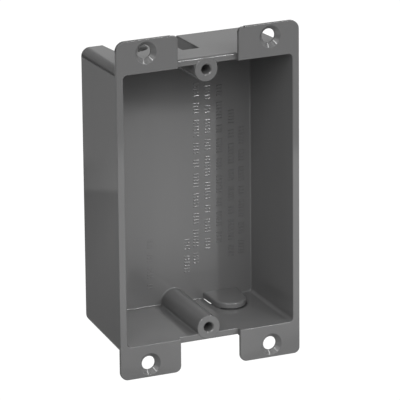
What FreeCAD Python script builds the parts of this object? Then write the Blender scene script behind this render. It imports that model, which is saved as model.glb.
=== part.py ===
import FreeCAD, Part
import os, math
from FreeCAD import Vector

# Shallow single-gang wall box, one injection-moulded piece.
# Frame: +X right, +Z up, the open front faces -Y.  Y = 0 is the back face of
# the four screw tabs, which is the face of the wall once the box is let in.
# The origin is the centre of the tab screw pattern.  Millimetres.

# ---- overall ---------------------------------------------------------------
TAB_T = 1.8            # tab and side-rim thickness in front of the wall face
DEPTH = 31.0           # front face to back face
Y_FRONT = -TAB_T
Y_BACK = DEPTH - TAB_T
BACK_T = 2.2           # back wall
Y_FLOOR = Y_BACK - BACK_T

HALF_W_FRONT = 30.50   # outer half width at the front face
HALF_W_BACK = 29.20    # outer half width at the back face
HALF_H_FRONT = 45.70   # outer half height at the wall face
HALF_H_BACK = 44.72    # outer half height at the back face
CORNER_R_FRONT = 2.4   # long outer corners
CORNER_R_BACK = 2.75

IN_HALF_W_FRONT = 28.23
IN_HALF_W_BACK = 27.10
IN_HALF_H_FRONT = 43.63
IN_HALF_H_BACK = 42.37
IN_CORNER_R = 1.3

# ---- screw tabs ------------------------------------------------------------
TAB_X = 10.09          # inner edge of each tab
TAB_Z = 54.25          # outer end of each tab
HOLE_X = 20.66
HOLE_Z = 50.00
HOLE_R = 2.2
CSK_R = 3.55
CSK_ANGLE = 90.0
CSK_EDGE_R = 0.18
TAB_STEP = 0.38        # inner end of the upper tabs is this much lower
TAB_STEP_W = 2.3
TAB_BACK_R = 1.0       # rounding along the tabs' back edges

# ---- device screw posts ----------------------------------------------------
POST_Z = 41.67         # half of the 83.34 spacing of the device screws
POST_R_FRONT = 3.80
POST_R_BACK = 4.25
POST_PROUD = 0.2
POST_BEVEL = 0.15
SCREW_R = 1.55
SCREW_CHAMFER = 0.32
SLOT_HALF_W = 2.7      # hollow behind each post, open to the outside
SLOT_Y = 11.3
SLOT_Z = 39.7

# ---- cable knock-outs ------------------------------------------------------
KO_X = 16.15
KO_PAD_Y = 20.15       # centre of the pad's round end
KO_PAD_R = 5.45
KO_PAD_H = 2.1         # pad, above the inner face of the wall
KO_LIFT_FRONT = 0.34   # its underside, above that face, at the round end
KO_LIFT_BACK = 0.02    # and at the back wall
KO_PAD_EDGE_R = 0.12   # its lower edge
KO_OPEN_Y = 19.68      # opening under it, inner half of the wall
KO_OPEN_R = 5.55
KO_OUT_Y = 20.9        # opening under it, outer half of the wall
KO_OUT_R = 5.45
KO_FLARE = 0.4         # the straight sides open this much toward the back
KO_LEDGE = 1.0         # depth of the inner half
KO_WEB_TOP = 0.55      # thin web that holds the round end, below the inner face
KO_WEB_A = 213.0       # it runs from here to KO_WEB_B round the pad, degrees
KO_WEB_B = 350.0
KO_TIE_A = 162.0       # and rises to the inner face from here to KO_WEB_A

# ---- edge rounding ---------------------------------------------------------
R_OUT = 0.5
R_FRONT = 0.22
R_RIM = 0.6
R_IN = 0.28
R_POST = 0.45
R_SLOT = 0.3
R_SLOT_CORNER = 0.25
R_CAVITY = 0.4


def lerp(a, b, t):
    return a + (b - a) * t


def half_w(y):
    return lerp(HALF_W_FRONT, HALF_W_BACK, (y - Y_FRONT) / (Y_BACK - Y_FRONT))


def half_h(y):
    return lerp(HALF_H_FRONT, HALF_H_BACK, y / Y_BACK)


def in_half_w(y):
    return lerp(IN_HALF_W_FRONT, IN_HALF_W_BACK, (y - Y_FRONT) / (Y_FLOOR - Y_FRONT))


def in_half_h(y):
    return lerp(IN_HALF_H_FRONT, IN_HALF_H_BACK, (y - Y_FRONT) / (Y_FLOOR - Y_FRONT))


def seg(a, b):
    return Part.LineSegment(a, b).toShape()


def arc3(a, m, b):
    return Part.Arc(a, m, b).toShape()


def rounded_poly(points, y):
    """Closed wire through (x, z, radius) corners at depth y."""
    n = len(points)
    start, end, mid = [], [], []
    for i in range(n):
        x, z, r = points[i]
        px, pz, _ = points[i - 1]
        nx, nz, _ = points[(i + 1) % n]
        a = Vector(px - x, 0, pz - z)
        b = Vector(nx - x, 0, nz - z)
        a.normalize()
        b.normalize()
        if r <= 0:
            q = Vector(x, y, z)
            start.append(q)
            end.append(q)
            mid.append(None)
            continue
        ang = a.getAngle(b)
        t = r / math.tan(ang / 2)
        q = Vector(x, y, z)
        s, f = q + a * t, q + b * t
        bis = a + b
        bis.normalize()
        c = q + bis * (r / math.sin(ang / 2))
        start.append(s)
        end.append(f)
        mid.append(c - bis * r)
    e = []
    for i in range(n):
        if mid[i] is not None:
            e.append(arc3(start[i], mid[i], end[i]))
        j = (i + 1) % n
        if end[i].distanceToPoint(start[j]) > 1e-6:
            e.append(seg(end[i], start[j]))
    return Part.Wire(e)


def body_wire(y):
    """Outer section of the shell."""
    w, h = half_w(y), half_h(y)
    r = lerp(CORNER_R_FRONT, CORNER_R_BACK, (y - Y_FRONT) / (Y_BACK - Y_FRONT))
    return rounded_poly([(-w, h, r), (w, h, r), (w, -h, r), (-w, -h, r)], y)


def loft(w1, w2):
    s = Part.makeLoft([w1, w2], True, True)
    return s if s.Volume > 0 else s.reversed()


def prism(wire, y0, y1):
    return Part.Face(wire).extrude(Vector(0, y1 - y0, 0))


def check(shape, what):
    assert shape.isValid(), what + " is not valid"
    assert len(shape.Solids) == 1, what + " has %d solids" % len(shape.Solids)
    return shape.Solids[0]


def fillet(shape, radius, pick, what):
    edges = [e for e in shape.Edges if pick(e)]
    assert edges, "no edges for " + what
    out = shape.makeFillet(radius, edges)
    return check(out, what)


def mid_of(e):
    return e.valueAt((e.FirstParameter + e.LastParameter) / 2)


def near(a, b, tol=0.02):
    return abs(a - b) < tol


# ---- outer shell -----------------------------------------------------------
body = loft(body_wire(Y_FRONT), body_wire(Y_BACK))
body = fillet(body, R_OUT, lambda e: near(e.BoundBox.YMin, Y_BACK) and near(e.BoundBox.YMax, Y_BACK), "back edge")
# between the tabs the rim is set back to the wall face
for z in (40.0, -60.0):
    body = body.cut(Part.makeBox(2 * TAB_X, TAB_T + 1.0, 20.0, Vector(-TAB_X, -TAB_T - 1.0, z)))
body = check(body, "body")

# ---- front layer: two side rims, each with an upper and a lower tab --------


def plate_points(y, side):
    w = half_w(y)
    if side < 0:
        return [(-w, TAB_Z, 3.0),
                (-TAB_X, TAB_Z, 1.7),
                (-TAB_X, -TAB_Z, 2.0),
                (-w, -TAB_Z, 2.6)]
    return [(TAB_X, TAB_Z, 1.9),
            (w, TAB_Z, 3.0),
            (w, -TAB_Z, 1.9),
            (TAB_X, -TAB_Z, 2.2)]


def plate(side):
    s = loft(rounded_poly(plate_points(Y_FRONT, side), Y_FRONT),
             rounded_poly(plate_points(0.0, side), 0.0))
    return fillet(s, TAB_BACK_R, lambda e: near(e.BoundBox.YMin, 0.0) and near(e.BoundBox.YMax, 0.0), "tab back edge")


plates = [plate(-1), plate(1)]
shell = body.fuse(plates).removeSplitter()
shell = check(shell, "shell")

# ---- cavity ----------------------------------------------------------------


def cavity_wire(y, r):
    w, h = in_half_w(y), in_half_h(y)
    return rounded_poly([(-w, h, r), (w, h, r), (w, -h, r), (-w, -h, r)], y)


def half_turn(shape):
    s = shape.copy()
    s.rotate(Vector(0, 0, 0), Vector(0, 1, 0), 180)
    return s


def rim_round(z0, slope, r, outer):
    """Cutter that rounds the edge between the wall face Y = 0 and a face
    z = z0 - slope * y, with the material below it (outer) or above it."""
    k = math.sqrt(1 + slope * slope)
    sign = 1.0 if outer else -1.0
    c = z0 - slope * r - sign * r * k
    ny, nz = slope / k, 1 / k
    t = Vector(-TAB_X, r + sign * r * ny, c + sign * r * nz)
    f = Vector(-TAB_X, 0, c)
    d = Vector(-TAB_X, -1.0, c)
    u = Vector(-TAB_X, -1.0, t.z + sign * 1.0)
    v = Vector(-TAB_X, t.y, t.z + sign * 1.0)
    cen = Vector(-TAB_X, r, c)
    m = (f - cen) + (t - cen)
    m.normalize()
    m = cen + m * r
    w = Part.Wire([arc3(f, m, t), seg(t, v), seg(v, u), seg(u, d), seg(d, f)])
    return Part.Face(w).extrude(Vector(2 * TAB_X, 0, 0))


Y_OVER = Y_FRONT - 1.0
cavity = loft(cavity_wire(Y_OVER, IN_CORNER_R), cavity_wire(Y_FLOOR, IN_CORNER_R * 0.8))
cavity = fillet(cavity, R_CAVITY, lambda e: near(e.BoundBox.YMin, Y_FLOOR) and near(e.BoundBox.YMax, Y_FLOOR), "cavity")
box = check(shell.cut(cavity), "box")
box = fillet(box, R_FRONT, lambda e: near(e.BoundBox.YMin, Y_FRONT) and near(e.BoundBox.YMax, Y_FRONT), "front edges")
m_out = (HALF_H_FRONT - HALF_H_BACK) / Y_BACK
m_in = (IN_HALF_H_FRONT - IN_HALF_H_BACK) / (Y_FLOOR - Y_FRONT)
rounds = [rim_round(half_h(0), m_out, R_RIM, True), rim_round(in_half_h(0), m_in, R_IN, False)]
box = check(box.cut(rounds + [half_turn(r) for r in rounds]), "box with rounded rim")
print("box", round(box.Volume), len(box.Faces))

# ---- device screw posts ----------------------------------------------------


def post(square):
    length = Y_FLOOR + 0.6 + POST_PROUD
    r_end = lerp(POST_R_FRONT, POST_R_BACK, length / (Y_FLOOR + POST_PROUD))
    c = Part.makeCone(POST_R_FRONT, r_end, length - POST_BEVEL, Vector(0, POST_BEVEL - POST_PROUD, POST_Z), Vector(0, 1, 0))
    bevel = Part.makeCone(POST_R_FRONT - POST_BEVEL, POST_R_FRONT, POST_BEVEL, Vector(0, -POST_PROUD, POST_Z), Vector(0, 1, 0))
    c = c.fuse(bevel)
    if square:
        # straight sides up to the wall
        p0 = [Vector(-POST_R_FRONT, 0.35, POST_Z), Vector(POST_R_FRONT, 0.35, POST_Z),
              Vector(POST_R_FRONT, 0.35, POST_Z + 3.2), Vector(-POST_R_FRONT, 0.35, POST_Z + 3.2)]
        y1 = Y_FLOOR + 0.6
        r1 = lerp(POST_R_FRONT, POST_R_BACK, y1 / Y_FLOOR)
        p1 = [Vector(-r1, y1, POST_Z), Vector(r1, y1, POST_Z),
              Vector(r1, y1, POST_Z + 2.2), Vector(-r1, y1, POST_Z + 2.2)]
        blk = Part.makeLoft([Part.makePolygon(p0 + [p0[0]]), Part.makePolygon(p1 + [p1[0]])], True, True)
        c = c.fuse(blk)
    return c.removeSplitter()


envelope = loft(body_wire(-POST_PROUD - 0.1), body_wire(Y_BACK))
posts = [post(True).common(envelope), half_turn(post(False).common(envelope))]
box = check(box.fuse(posts).removeSplitter(), "box with posts")
print("posts", round(box.Volume), len(box.Faces))


def inside_edge(e):
    """Where a post leaves the back wall and the wall beside it."""
    b = e.BoundBox
    if abs(mid_of(e).x) > 5.5 or abs(mid_of(e).z) < POST_Z - 5 or abs(mid_of(e).z) > 44.0:
        return False
    on_floor = near(b.YMin, Y_FLOOR) and near(b.YMax, Y_FLOOR)
    along = b.YLength > 20 and b.YMin < 1.6
    turn = b.YMin > Y_FLOOR - R_CAVITY - 0.05 and b.YLength > 0.2
    return on_floor or along or turn


box = fillet(box, R_POST, inside_edge, "inside corners")
print("inside corners", round(box.Volume), len(box.Faces))

# ---- knock-outs ------------------------------------------------------------


def wall_z(y):
    return -in_half_h(y)


def slab(x0, x1, y0, y1, a, b):
    """Space between two planes parallel to the inner face of the lower wall,
    a to b above it."""
    pts = [Vector(x0, y0, wall_z(y0) + a), Vector(x0, y1, wall_z(y1) + a),
           Vector(x0, y1, wall_z(y1) + b), Vector(x0, y0, wall_z(y0) + b)]
    return Part.Face(Part.makePolygon(pts + [pts[0]])).extrude(Vector(x1 - x0, 0, 0))


def u_prism(cy, r, y_end, z0=-48.0, z1=-38.0):
    """Upright prism over a U: round end at cy toward the front, straight
    sides that open a little toward the back."""
    d = math.atan(KO_FLARE / (Y_FLOOR - cy))
    ax, ay = r * math.cos(d), r * math.sin(d)
    bx = ax + (y_end - cy + ay) * math.tan(d)
    a = Vector(KO_X - ax, cy - ay, z0)
    b = Vector(KO_X + ax, cy - ay, z0)
    m = Vector(KO_X, cy - r, z0)
    c = Vector(KO_X + bx, y_end, z0)
    e = Vector(KO_X - bx, y_end, z0)
    w = Part.Wire([arc3(a, m, b), seg(b, c), seg(c, e), seg(e, a)])
    return Part.Face(w).extrude(Vector(0, 0, z1 - z0))


def sector(cy, r_in, r_out, a0, a1, z0=-48.0, z1=-38.0):
    def p(r, a):
        a = math.radians(a)
        return Vector(KO_X + r * math.cos(a), cy + r * math.sin(a), z0)
    am = (a0 + a1) / 2
    w = Part.Wire([arc3(p(r_out, a0), p(r_out, am), p(r_out, a1)), seg(p(r_out, a1), p(r_in, a1)),
                   arc3(p(r_in, a1), p(r_in, am), p(r_in, a0)), seg(p(r_in, a0), p(r_out, a0))])
    return Part.Face(w).extrude(Vector(0, 0, z1 - z0))


ko_cut = u_prism(KO_OPEN_Y, KO_OPEN_R, Y_BACK + 1).common(slab(5, 28, 10, Y_BACK + 2, -KO_LEDGE, 0.0))
ko_cut = ko_cut.fuse(u_prism(KO_OUT_Y, KO_OUT_R, Y_BACK + 1).common(slab(5, 28, 10, Y_BACK + 2, -6.0, -KO_LEDGE + 0.1)))


def lift(y):
    y0 = KO_PAD_Y - KO_PAD_R
    return lerp(KO_LIFT_FRONT, KO_LIFT_BACK, (y - y0) / (Y_FLOOR - y0))


under = [Vector(5, y, wall_z(y) + h) for y, h in ((10, lift(10)), (Y_BACK + 2, lift(Y_BACK + 2)), (Y_BACK + 2, KO_PAD_H), (10, KO_PAD_H))]
under = Part.Face(Part.makePolygon(under + [under[0]])).extrude(Vector(23, 0, 0))
pad = u_prism(KO_PAD_Y, KO_PAD_R, Y_BACK).common(under)
pad = fillet(pad, 0.55, lambda e: mid_of(e).z > wall_z(mid_of(e).y) + KO_PAD_H - 0.05 and e.BoundBox.YMin < Y_BACK - 0.5, "pad edge")
pad = fillet(pad, KO_PAD_EDGE_R, lambda e: mid_of(e).z < wall_z(mid_of(e).y) + lift(mid_of(e).y) + 0.03 and e.BoundBox.YMin < Y_BACK - 0.5, "pad lower edge")


def below(part, a, b):
    return part.common(slab(5, 28, 10, Y_BACK + 2, a, b))


# the web reaches in under the pad and is joined to it along a narrow ring
web = below(sector(KO_PAD_Y, 3.3, 6.9, KO_WEB_A, KO_WEB_B), -KO_LEDGE, -KO_WEB_TOP)
web = web.fuse(below(sector(KO_PAD_Y, 3.3, 4.0, KO_WEB_A, KO_WEB_B), -KO_WEB_TOP - 0.1, 0.6))
web = web.fuse(below(sector(KO_PAD_Y, 3.3, 6.9, KO_TIE_A, KO_WEB_A), -KO_LEDGE, 0.0))
web = web.fuse(below(sector(KO_PAD_Y, 3.3, KO_PAD_R - 0.15, KO_TIE_A, KO_WEB_A), -0.1, 0.6))
pad = check(pad.fuse(web).removeSplitter(), "pad")

for k in (lambda s: s, half_turn):
    box = box.cut(k(ko_cut))
    box = box.fuse(k(pad)).removeSplitter()
box = check(box, "box with knock-outs")
print("knock-outs", round(box.Volume), len(box.Faces))

# ---- hollow behind each post ----------------------------------------------
slot = Part.makeBox(2 * SLOT_HALF_W, Y_BACK + 2 - SLOT_Y, 8.0, Vector(-SLOT_HALF_W, SLOT_Y, SLOT_Z))
slot = fillet(slot, R_SLOT_CORNER, lambda e: near(e.BoundBox.YMin, SLOT_Y) and near(e.BoundBox.YMax, SLOT_Y) and e.BoundBox.ZLength > 7, "slot corner")

# ---- holes -----------------------------------------------------------------


def tab_hole(x, z):
    """Turned cutter: countersink with slightly rounded edges."""
    half = math.radians(CSK_ANGLE / 2)
    r, turn = CSK_EDGE_R, math.pi / 2 - half
    t = r * math.tan(turn / 2)
    y_in = Y_FRONT + (CSK_R - HOLE_R) / math.tan(half)
    # outer edge, between the tab's face and the cone
    a = Vector(CSK_R + t, Y_FRONT, 0)
    b = Vector(CSK_R - t * math.sin(half), Y_FRONT + t * math.cos(half), 0)
    am = Vector(CSK_R + t - r * math.sin(turn / 2), Y_FRONT + r * (1 - math.cos(turn / 2)), 0)
    # inner edge, between the cone and the bore
    u = r * math.tan(half / 2)
    c = Vector(HOLE_R + u * math.sin(half), y_in - u * math.cos(half), 0)
    d = Vector(HOLE_R, y_in + u, 0)
    dm = Vector(HOLE_R + r * (1 - math.cos(half / 2)), y_in + u - r * math.sin(half / 2), 0)
    w = Part.Wire([seg(Vector(0, Y_FRONT - 1, 0), Vector(CSK_R + t, Y_FRONT - 1, 0)),
                   seg(Vector(CSK_R + t, Y_FRONT - 1, 0), a), arc3(a, am, b), seg(b, c), arc3(c, dm, d),
                   seg(d, Vector(HOLE_R, 1.5, 0)), seg(Vector(HOLE_R, 1.5, 0), Vector(0, 1.5, 0)),
                   seg(Vector(0, 1.5, 0), Vector(0, Y_FRONT - 1, 0))])
    s = Part.Face(w).revolve(Vector(0, 0, 0), Vector(0, 1, 0), 360)
    if s.Volume < 0:
        s.reverse()
    s.translate(Vector(x, 0, z))
    return s


def screw_hole():
    cyl = Part.makeCylinder(SCREW_R, SLOT_Y + 2.0, Vector(0, -POST_PROUD - 1, POST_Z), Vector(0, 1, 0))
    cone = Part.makeCone(SCREW_R + SCREW_CHAMFER + 0.5, SCREW_R, SCREW_CHAMFER + 0.5,
                         Vector(0, -POST_PROUD - 0.5, POST_Z), Vector(0, 1, 0))
    return cyl.fuse(cone)


box = check(box.cut([slot, half_turn(slot)]), "box with hollows")


def slot_lip(e):
    b = e.BoundBox
    m = mid_of(e)
    on_skin = abs(abs(m.z) - half_h(m.y)) < 0.02
    return on_skin and abs(m.x) < SLOT_HALF_W + 0.05 and b.YMin > SLOT_Y - 0.1 and b.YMax < Y_BACK - R_OUT + 0.05


box = fillet(box, R_SLOT, slot_lip, "hollow lip")
print("hollows", round(box.Volume), len(box.Faces))

cuts = [screw_hole(), half_turn(screw_hole())]
for sx in (-1, 1):
    for sz in (-1, 1):
        cuts.append(tab_hole(sx * HOLE_X, sz * HOLE_Z))
    # lower inner end of the upper tabs
    x0 = TAB_X - 1.0 if sx > 0 else -TAB_X - TAB_STEP_W
    cuts.append(Part.makeBox(TAB_STEP_W + 1.0, TAB_T + 2.0, 2.0, Vector(x0, Y_FRONT - 1.0, TAB_Z - TAB_STEP)))
box = check(box.cut(cuts), "drilled box")
print("holes", round(box.Volume), len(box.Faces))

os.makedirs("parts", exist_ok=True)
box.exportStep("parts/wall_box.step")
b = box.BoundBox
print("size", round(b.XLength, 2), round(b.YLength, 2), round(b.ZLength, 2), "volume", round(box.Volume, 1))
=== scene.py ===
from math import cos, radians, sin

import bmesh
import bpy
from mathutils import Matrix, Vector


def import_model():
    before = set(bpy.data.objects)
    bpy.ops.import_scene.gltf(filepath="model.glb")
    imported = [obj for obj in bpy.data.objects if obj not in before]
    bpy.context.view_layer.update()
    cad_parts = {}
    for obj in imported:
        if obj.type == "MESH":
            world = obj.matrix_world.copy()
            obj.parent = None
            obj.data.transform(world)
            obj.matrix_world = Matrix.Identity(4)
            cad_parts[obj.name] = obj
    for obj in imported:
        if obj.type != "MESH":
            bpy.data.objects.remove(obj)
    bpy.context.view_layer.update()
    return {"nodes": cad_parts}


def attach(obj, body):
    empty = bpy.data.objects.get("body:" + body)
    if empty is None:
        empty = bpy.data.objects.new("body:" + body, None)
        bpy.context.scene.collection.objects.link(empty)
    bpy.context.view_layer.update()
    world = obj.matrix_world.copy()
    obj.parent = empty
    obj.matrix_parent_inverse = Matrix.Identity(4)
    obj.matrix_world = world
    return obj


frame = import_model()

scene = bpy.context.scene
scene.view_settings.view_transform = "Standard"

MM = 0.001
FLOOR_Z = -54.25 * MM        # the lower tabs' ends
INNER_BACK = 27.0 * MM       # face of the back wall inside the box


# ---------------------------------------------------------------- camera
RIGHT = Vector((0.913255, -0.407277, -0.009506))
UP = Vector((0.134494, 0.279392, 0.950711))
BACK = Vector((-0.384547, -0.869520, 0.309933))
cam_data = bpy.data.cameras.new("camera")
cam_data.sensor_fit = "HORIZONTAL"
cam_data.sensor_width = 36.0
cam_data.lens = 369.255
cam_data.clip_start = 0.05
cam_data.clip_end = 50.0
camera = bpy.data.objects.new("camera", cam_data)
scene.collection.objects.link(camera)
turn = Matrix((RIGHT, UP, BACK)).transposed().to_4x4()
camera.matrix_world = Matrix.Translation((-0.487328, -1.096352, 0.390999)) @ turn
scene.camera = camera


# ---------------------------------------------------------------- materials
def node_tree(name):
    mat = bpy.data.materials.new(name)
    mat.use_nodes = True
    mat.node_tree.nodes.clear()
    return mat, mat.node_tree.nodes, mat.node_tree.links


def grey_pvc():
    """Satin-gloss moulded PVC: slight flow shading in the colour, a very fine skin and soft sink marks."""
    mat, nodes, links = node_tree("grey_pvc_moulded")
    out = nodes.new("ShaderNodeOutputMaterial")
    pvc = nodes.new("ShaderNodeBsdfPrincipled")
    pvc.inputs["IOR"].default_value = 1.5
    links.new(pvc.outputs["BSDF"], out.inputs["Surface"])
    where = nodes.new("ShaderNodeTexCoord")

    # colour: long faint flow streaks
    stretch = nodes.new("ShaderNodeMapping")
    stretch.inputs["Scale"].default_value = (70.0, 70.0, 18.0)
    links.new(where.outputs["Object"], stretch.inputs["Vector"])
    flow = nodes.new("ShaderNodeTexNoise")
    flow.inputs["Scale"].default_value = 1.0
    flow.inputs["Detail"].default_value = 3.0
    flow.inputs["Roughness"].default_value = 0.5
    links.new(stretch.outputs["Vector"], flow.inputs["Vector"])
    tint = nodes.new("ShaderNodeValToRGB")
    tint.color_ramp.elements[0].position = 0.25
    tint.color_ramp.elements[0].color = (0.155, 0.155, 0.156, 1.0)
    tint.color_ramp.elements[1].position = 0.75
    tint.color_ramp.elements[1].color = (0.165, 0.165, 0.165, 1.0)
    links.new(flow.outputs["Fac"], tint.inputs["Fac"])
    links.new(tint.outputs["Color"], pvc.inputs["Base Color"])

    # gloss: a little uneven
    patch = nodes.new("ShaderNodeTexNoise")
    patch.inputs["Scale"].default_value = 260.0
    patch.inputs["Detail"].default_value = 4.0
    links.new(where.outputs["Object"], patch.inputs["Vector"])
    gloss = nodes.new("ShaderNodeMapRange")
    gloss.inputs["From Min"].default_value = 0.3
    gloss.inputs["From Max"].default_value = 0.7
    gloss.inputs["To Min"].default_value = 0.05
    gloss.inputs["To Max"].default_value = 0.08
    links.new(patch.outputs["Fac"], gloss.inputs["Value"])
    links.new(gloss.outputs["Result"], pvc.inputs["Roughness"])

    # skin: fine orange peel over broad, shallow sink marks
    skin = nodes.new("ShaderNodeTexNoise")
    skin.inputs["Scale"].default_value = 2200.0
    skin.inputs["Detail"].default_value = 2.0
    links.new(where.outputs["Object"], skin.inputs["Vector"])
    sink = nodes.new("ShaderNodeTexNoise")
    sink.inputs["Scale"].default_value = 75.0
    sink.inputs["Detail"].default_value = 1.0
    links.new(where.outputs["Object"], sink.inputs["Vector"])
    broad = nodes.new("ShaderNodeBump")
    broad.inputs["Strength"].default_value = 1.0
    broad.inputs["Distance"].default_value = 0.00003
    links.new(sink.outputs["Fac"], broad.inputs["Height"])
    fine = nodes.new("ShaderNodeBump")
    fine.inputs["Strength"].default_value = 1.0
    fine.inputs["Distance"].default_value = 0.0000015
    links.new(skin.outputs["Fac"], fine.inputs["Height"])
    links.new(broad.outputs["Normal"], fine.inputs["Normal"])
    links.new(fine.outputs["Normal"], pvc.inputs["Normal"])
    return mat


PVC = grey_pvc()
wall_box = frame["nodes"]["wall_box"]
for s in wall_box.material_slots:
    s.material = PVC


# ---------------------------------------------------------------- raised marks
BAR = (1.85, 0.40)           # length and width of one raised bar, mm
# sections from the foot, below the wall's surface, to the middle: share of the width, height in mm
BEVELLED = ((0.50, -0.04), (0.475, 0.070), (0.38, 0.088), (0.28, 0.100), (0.12, 0.110))
SLANTED = ((0.50, -0.04), (0.470, 0.080), (0.41, 0.091), (0.30, 0.110), (0.12, 0.125))
ROUNDED = ((0.50, -0.04), (0.490, 0.110), (0.43, 0.190), (0.31, 0.235), (0.12, 0.250))
LOW = ((0.50, -0.04), (0.470, 0.060), (0.42, 0.095), (0.30, 0.110), (0.12, 0.115))


def add_bar(bm, centre, along, across, out, length, section):
    """A moulded bar with steep sides and a crowned top."""
    loops = []
    for k, h in section:
        a = length / 2 - BAR[1] * (0.5 - k)
        b = BAR[1] * k
        loops.append([bm.verts.new((centre + along * (sa * a) + across * (sb * b) + out * h) * MM)
                      for sa, sb in ((-1, -1), (1, -1), (1, 1), (-1, 1))])
    made = [bm.faces.new(loops[0][::-1]), bm.faces.new(loops[-1])]
    for lo, hi in zip(loops, loops[1:]):
        for i in range(4):
            j = (i + 1) % 4
            made.append(bm.faces.new((lo[i], lo[j], hi[j], hi[i])))
    return made


def add_column(bm, x_top, x_end, z_top, z_end, groups, sections):
    """Bars across a line that runs down the back wall, in groups with gaps."""
    along, across, out = Vector((1, 0, 0)), Vector((0, 0, 1)), Vector((0, -1, 0))
    pitch, gap = 1.02, 1.45
    z, k = z_top, 0
    while True:
        n, split = groups[k % len(groups)]
        if z - (n - 1) * pitch < z_end:
            break
        for i in range(n):
            section = sections[(2 * k + i) % len(sections)]
            t = (z_top - z) / (z_top - z_end)
            mid = Vector((x_top + (x_end - x_top) * t, INNER_BACK / MM, z))
            if split and i % 2:
                for side in (-1, 1):
                    add_bar(bm, mid + along * (side * 0.58), along, across, out, 0.66, section)
            else:
                add_bar(bm, mid, along, across, out, BAR[0], section)
            z -= pitch
        z -= gap
        k += 1


def make_marks():
    bm = bmesh.new()
    bright, dull = (BEVELLED, SLANTED, BEVELLED), (ROUNDED,)
    add_column(bm, 8.5, 7.9, 28.9, -31.0, ((5, True), (4, False), (6, True), (4, True), (3, False), (5, False)), bright)
    add_column(bm, 12.4, 11.9, 28.6, -31.3, ((6, False), (3, True), (5, True), (4, False), (7, True)), bright)
    add_column(bm, 16.3, 15.9, 27.3, -31.2, ((4, True), (6, True), (3, False), (5, True)), dull)
    add_column(bm, 20.3, 20.0, 18.6, -30.9, ((5, False), (3, True), (7, True), (4, True)), dull)
    add_column(bm, 23.8, 23.5, 12.6, -31.4, ((6, True), (4, True), (5, False), (3, True)), dull)
    add_column(bm, 4.85, 4.7, -22.0, -34.1, ((4, True), (6, True)), bright)
    add_column(bm, -7.85, -8.1, -20.6, -39.1, ((3, False), (3, True), (4, True), (2, False)), (LOW,))
    me = bpy.data.meshes.new("moulded_marks")
    bm.to_mesh(me)
    bm.free()
    marks = bpy.data.objects.new("moulded_marks", me)
    marks.data.materials.append(PVC)
    scene.collection.objects.link(marks)
    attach(marks, "root")
    return marks


make_marks()


# ---------------------------------------------------------------- studio
def smooth(t):
    t = min(1.0, max(0.0, t))
    return t * t * (3 - 2 * t)


def painted_floor_light(azimuth, r):
    """Painted light that the floor emits for all but camera rays, in place of the light a white sheet sends back:
    bright in front of the box and behind it, dimmer beside it, with the box's shadow painted in behind-left.
    """
    front = smooth((75.0 - abs(azimuth)) / 15.0) * (0.84 + 0.30 * smooth((azimuth - 5.0) / 25.0) - 0.16 * smooth((azimuth - 28.0) / 20.0))
    # painted shade: the front glow is dimmer within about 80 mm of the box
    front *= (0.60 + 0.40 * smooth((r - 40.0) / 40.0)) * (1.0 - smooth((r - 222.0) / 16.0))
    left = smooth((-60.0 - azimuth) / 15.0) * smooth((azimuth + 165.0) / 15.0)
    # painted shadow of the box: dim behind-left close to the box, brighter past about 200 mm
    left *= 0.26 + 0.11 * smooth((r - 60.0) / 120.0) + 0.27 * smooth((r - 199.0) / 5.0) - 0.64 * smooth((r - 400.0) / 60.0)
    behind = 0.51 * smooth((abs(azimuth) - 150.0) / 15.0) * smooth((r - 220.0) / 20.0) * (1.0 - smooth((r - 400.0) / 60.0))
    right = 0.36 * smooth((azimuth - 60.0) / 15.0) * smooth((120.0 - azimuth) / 15.0) * (1.0 - smooth((r - 50.0) / 20.0))
    far = 1.35 * (smooth((azimuth - 115.0) / 20.0) if azimuth > 0 else smooth((-165.0 - azimuth) / 10.0))
    far *= smooth((r - 65.0) / 45.0) * (1.0 - smooth((r - 330.0) / 100.0))
    return max(front, left, behind, right, far, 0.02)


def floor_with_painted_light():
    mat, nodes, links = node_tree("floor_with_painted_light")
    out = nodes.new("ShaderNodeOutputMaterial")
    # painted light: for all but camera rays the floor emits the glow attribute, which holds the painted bounce light
    # and the box's painted shadow; camera rays see an even white
    glow = nodes.new("ShaderNodeAttribute")
    glow.attribute_name = "glow"
    lit = nodes.new("ShaderNodeEmission")
    links.new(glow.outputs["Fac"], lit.inputs["Strength"])
    seen = nodes.new("ShaderNodeEmission")
    seen.inputs["Strength"].default_value = 1.05
    path = nodes.new("ShaderNodeLightPath")
    mix = nodes.new("ShaderNodeMixShader")
    links.new(path.outputs["Is Camera Ray"], mix.inputs["Fac"])
    links.new(lit.outputs["Emission"], mix.inputs[1])
    links.new(seen.outputs["Emission"], mix.inputs[2])
    links.new(mix.outputs["Shader"], out.inputs["Surface"])
    return mat


def make_floor():
    radii = [0.0, 20, 40, 60, 80, 110, 140, 170, 190, 197, 199, 200, 201, 202, 204, 206, 210, 215, 220, 224,
             228, 232, 236, 240, 250, 270, 300, 350, 400, 430, 445, 460, 475, 490, 600, 1000, 3000]
    turns = [i * 4.0 - 180.0 for i in range(90)]
    me = bpy.data.meshes.new("floor")
    bm = bmesh.new()
    rings, values = [], []
    for r in radii[1:]:
        ring = []
        for t in turns:
            ring.append(bm.verts.new((r * MM * sin(radians(t)), -r * MM * cos(radians(t)), FLOOR_Z)))
            values.append(painted_floor_light(t, r))
        rings.append(ring)
    middle = bm.verts.new((0.0, 0.0, FLOOR_Z))
    values.append(0.5)
    n = len(turns)
    for i in range(n):
        bm.faces.new((middle, rings[0][i], rings[0][(i + 1) % n]))
        for lo, hi in zip(rings, rings[1:]):
            bm.faces.new((lo[i], hi[i], hi[(i + 1) % n], lo[(i + 1) % n]))
    bm.to_mesh(me)
    bm.free()
    glow = me.attributes.new("glow", "FLOAT", "POINT")
    glow.data.foreach_set("value", values)
    floor = bpy.data.objects.new("floor", me)
    floor.data.materials.append(floor_with_painted_light())
    scene.collection.objects.link(floor)
    return floor


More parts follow.
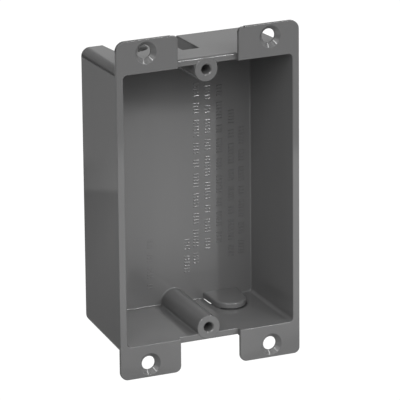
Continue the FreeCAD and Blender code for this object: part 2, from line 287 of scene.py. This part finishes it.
# Soft lights round the box: degrees to the right of its front, degrees up, radius in degrees, strength
SOFT = ((-50, 30, 22, 1.95), (-25, 30, 22, 2.25), (-25, 54, 22, 0.75), (0, 30, 22, 1.60), (0, 54, 22, 0.95),
        (25, 30, 22, 1.70), (24, 22, 9, 3.6), (50, 30, 22, 2.25), (50, 54, 22, 0.60), (50, 6, 22, 1.40),
        (-50, 6, 22, 0.16), (140, 10, 34, 0.42), (180, 10, 34, 0.42))
# Small bright ones for the glints
BRIGHT = ((26, 29, 3.4, 27.0), (-45, 46, 4, 10.0), (66, 51, 4, 9.0))


def world():
    w = bpy.data.worlds.new("studio")
    w.use_nodes = True
    nodes, links = w.node_tree.nodes, w.node_tree.links
    nodes.clear()
    out = nodes.new("ShaderNodeOutputWorld")
    toward = nodes.new("ShaderNodeTexCoord")
    total = None
    for kind, lights in (("soft", SOFT), ("bright", BRIGHT)):
        for azimuth, elevation, radius, strength in lights:
            a, e = radians(azimuth), radians(elevation)
            dot = nodes.new("ShaderNodeVectorMath")
            dot.operation = "DOT_PRODUCT"
            dot.inputs[1].default_value = (sin(a) * cos(e), -cos(a) * cos(e), sin(e))
            links.new(toward.outputs["Generated"], dot.inputs[0])
            fall = nodes.new("ShaderNodeMapRange")
            if kind == "soft":
                fall.interpolation_type = "SMOOTHERSTEP"
                fall.inputs["From Min"].default_value = cos(radians(radius))
                fall.inputs["From Max"].default_value = 1.0
            else:
                fall.inputs["From Min"].default_value = cos(radians(radius + 0.7))
                fall.inputs["From Max"].default_value = cos(radians(radius - 0.7))
            fall.inputs["To Max"].default_value = strength
            links.new(dot.outputs["Value"], fall.inputs["Value"])
            if total is None:
                total = fall.outputs["Result"]
            else:
                add = nodes.new("ShaderNodeMath")
                add.operation = "ADD"
                links.new(total, add.inputs[0])
                links.new(fall.outputs["Result"], add.inputs[1])
                total = add.outputs["Value"]
    fill = nodes.new("ShaderNodeBackground")
    links.new(total, fill.inputs["Strength"])
    seen = nodes.new("ShaderNodeBackground")
    seen.inputs["Strength"].default_value = 1.05
    seen.inputs["Color"].default_value = (1.0, 1.0, 1.0, 1.0)
    fill.inputs["Color"].default_value = (1.0, 1.0, 1.0, 1.0)
    path = nodes.new("ShaderNodeLightPath")
    mix = nodes.new("ShaderNodeMixShader")
    links.new(path.outputs["Is Camera Ray"], mix.inputs["Fac"])
    links.new(fill.outputs["Background"], mix.inputs[1])
    links.new(seen.outputs["Background"], mix.inputs[2])
    links.new(mix.outputs["Shader"], out.inputs["Surface"])
    scene.world = w


make_floor()
world()
